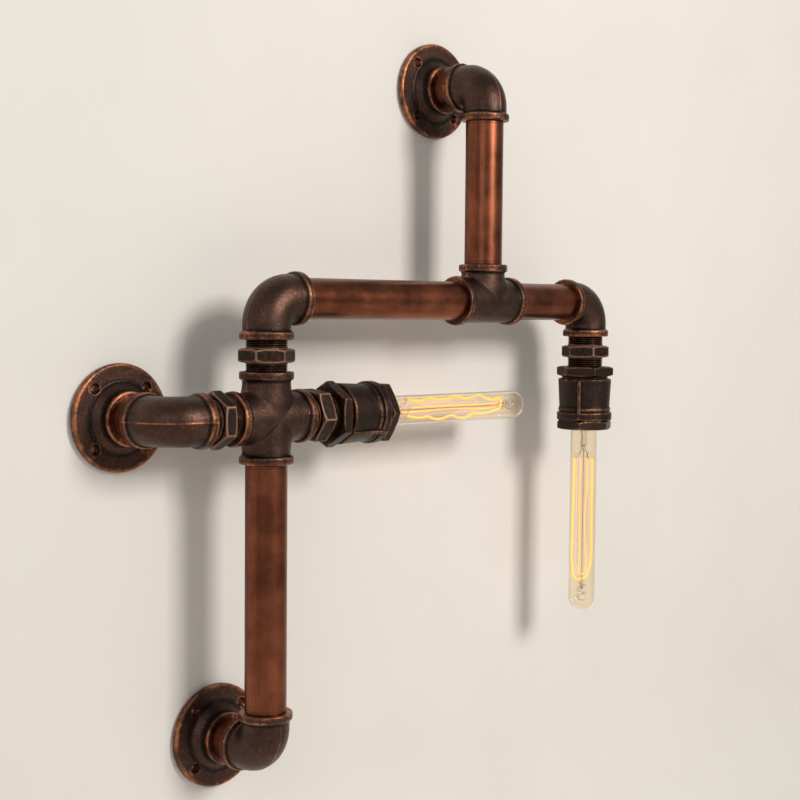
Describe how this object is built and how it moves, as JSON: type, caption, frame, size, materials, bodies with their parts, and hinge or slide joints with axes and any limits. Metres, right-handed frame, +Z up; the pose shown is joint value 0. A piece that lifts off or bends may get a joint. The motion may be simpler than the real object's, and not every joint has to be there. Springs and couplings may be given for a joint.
{
  "type": "industrial pipe wall light",
  "caption": "Wall light of screwed pipe, elbows, tee and cross on wall flanges, with a sideways and a hanging lamp cup that hold long tubular filament bulbs.",
  "frame": {"origin": "centre of the supply flange's back face, on the wall", "axes": "+X right along the wall, +Y into the wall, +Z up; the pipes lie 85 mm in front of the wall"},
  "size_m": [0.7012, 0.1196, 0.8056],
  "materials": {
    "bronzed_pipe": "satin antique-bronze finish on steel pipe",
    "nipple_iron": "blackened, worn at the corners",
    "fitting_iron": "malleable iron in antique bronze, copper rub-through on the bands",
    "cup_iron": "malleable iron in antique bronze, as cast",
    "porcelain": "glazed white",
    "brass": "stamped brass",
    "screw_steel": "plated steel",
    "bulb_glass": "clear, faintly amber",
    "stem_glass": "clear",
    "black_glass": "black vitrite",
    "solder": "dull solder",
    "filament": "glowing carbon filament",
    "support_wire": "bare nickel wire",
    "cable_sheath": "matt black"
  },
  "bodies": {
    "frame": {"cross": "fitting_iron", "drop_cup_barrel": "cup_iron", "drop_cup_bushing": "cup_iron", "drop_cup_ring": "cup_iron", "drop_holder_contact": "brass", "drop_holder_porcelain": "porcelain", "drop_holder_shell": "brass", "drop_holder_terminals": "screw_steel", "drop_nipple": "nipple_iron", "left_cable": "cable_sheath", "left_flange": "fitting_iron", "left_nipple": "nipple_iron", "left_stub": "bronzed_pipe", "left_wall_elbow": "fitting_iron", "long_pipe": "bronzed_pipe", "lower_flange": "fitting_iron", "lower_pipe": "bronzed_pipe", "lower_stub": "bronzed_pipe", "lower_wall_elbow": "fitting_iron", "right_cable": "cable_sheath", "right_cup_barrel": "cup_iron", "right_cup_bushing": "cup_iron", "right_cup_ring": "cup_iron", "right_holder_contact": "brass", "right_holder_porcelain": "porcelain", "right_holder_shell": "brass", "right_holder_terminals": "screw_steel", "right_nipple": "nipple_iron", "riser_nipple": "nipple_iron", "short_pipe": "bronzed_pipe", "supply_elbow": "fitting_iron", "supply_flange": "fitting_iron", "supply_pipe": "bronzed_pipe", "supply_stub": "bronzed_pipe", "tee": "fitting_iron", "terminal_block": "porcelain", "terminal_block_screws": "screw_steel", "top_left_elbow": "fitting_iron", "top_right_elbow": "fitting_iron"},
    "right_bulb": {"right_bulb_glass": "bulb_glass", "right_bulb_cap": "brass", "right_bulb_insulator": "black_glass", "right_bulb_eyelet": "solder", "right_bulb_stem": "stem_glass", "right_bulb_filament": "filament", "right_bulb_support": "support_wire", "right_bulb_lead_ins": "support_wire"},
    "drop_bulb": {"drop_bulb_glass": "bulb_glass", "drop_bulb_cap": "brass", "drop_bulb_insulator": "black_glass", "drop_bulb_eyelet": "solder", "drop_bulb_stem": "stem_glass", "drop_bulb_filament": "filament", "drop_bulb_support": "support_wire", "drop_bulb_lead_ins": "support_wire"}
  },
  "joints": [
    {"name": "right_bulb_unscrew", "type": "slide", "parent": "frame", "child": "right_bulb", "axis": [1, 0, 0], "range_m": [0, 0.03]},
    {"name": "drop_bulb_unscrew", "type": "slide", "parent": "frame", "child": "drop_bulb", "axis": [0, 0, -1], "range_m": [0, 0.03]}
  ]
}
